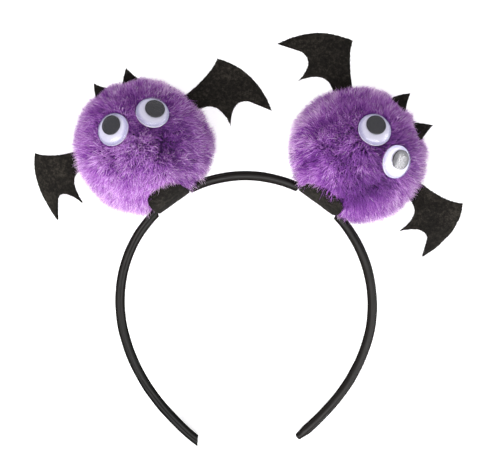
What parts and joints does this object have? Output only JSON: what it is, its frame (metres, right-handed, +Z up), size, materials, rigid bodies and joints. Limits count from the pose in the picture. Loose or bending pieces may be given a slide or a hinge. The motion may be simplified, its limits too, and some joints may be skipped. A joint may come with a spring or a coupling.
{
  "type": "bat headband",
  "caption": "Satin-covered hoop headband with two fur pompom bats, each with felt wings, felt ears and loose-pupil eyes, lying on its back.",
  "frame": {"origin": "bottom centre of the bounding box, on the surface that the headband lies on", "axes": "+X to the right seen from the bats' faces, +Y from the hoop's tips to its crown, +Z up from the surface"},
  "size_m": [0.199, 0.1864, 0.0624],
  "materials": {
    "satin": "black satin ribbon, soft sheen",
    "fur": "purple faux fur, short shiny pile",
    "felt": "black craft felt, matte",
    "eye_white": "white plastic, gloss",
    "eye_clear": "clear plastic dome",
    "pupil": "black plastic, semi-gloss"
  },
  "bodies": {
    "headband": {"band": "satin", "left_felt_patch": "felt", "right_felt_patch": "felt", "left_pompom": "fur", "right_pompom": "fur", "left_bat_outer_wing": "felt", "left_bat_inner_wing": "felt", "right_bat_inner_wing": "felt", "right_bat_outer_wing": "felt", "left_bat_outer_ear": "felt", "left_bat_inner_ear": "felt", "right_bat_inner_ear": "felt", "right_bat_outer_ear": "felt", "left_bat_outer_eye_cup": "eye_white", "left_bat_inner_eye_cup": "eye_white", "right_bat_inner_eye_cup": "eye_white", "right_bat_outer_eye_cup": "eye_white", "left_bat_outer_eye_dome": "eye_clear", "left_bat_inner_eye_dome": "eye_clear", "right_bat_inner_eye_dome": "eye_clear", "right_bat_outer_eye_dome": "eye_clear"},
    "left_outer_pupil": {"left_bat_outer_eye_pupil": "pupil"},
    "left_inner_pupil": {"left_bat_inner_eye_pupil": "pupil"},
    "right_inner_pupil": {"right_bat_inner_eye_pupil": "pupil"},
    "right_outer_pupil": {"right_bat_outer_eye_pupil": "pupil"}
  },
  "joints": [
    {"name": "left_outer_pupil_roll", "type": "hinge", "parent": "headband", "child": "left_outer_pupil", "pos_m": [-0.05881, 0.04156, 0.0564], "axis": [-0.3993, 0.0228, 0.9165], "continuous": true},
    {"name": "left_inner_pupil_roll", "type": "hinge", "parent": "headband", "child": "left_inner_pupil", "pos_m": [-0.04188, 0.0489, 0.057], "axis": [0.201, 0.2831, 0.9378], "continuous": true},
    {"name": "right_inner_pupil_roll", "type": "hinge", "parent": "headband", "child": "right_inner_pupil", "pos_m": [0.05679, 0.04118, 0.05684], "axis": [0.2031, 0.1214, 0.9716], "continuous": true},
    {"name": "right_outer_pupil_roll", "type": "hinge", "parent": "headband", "child": "right_outer_pupil", "pos_m": [0.06635, 0.02838, 0.0512], "axis": [0.5422, -0.3327, 0.7716], "continuous": true}
  ]
}
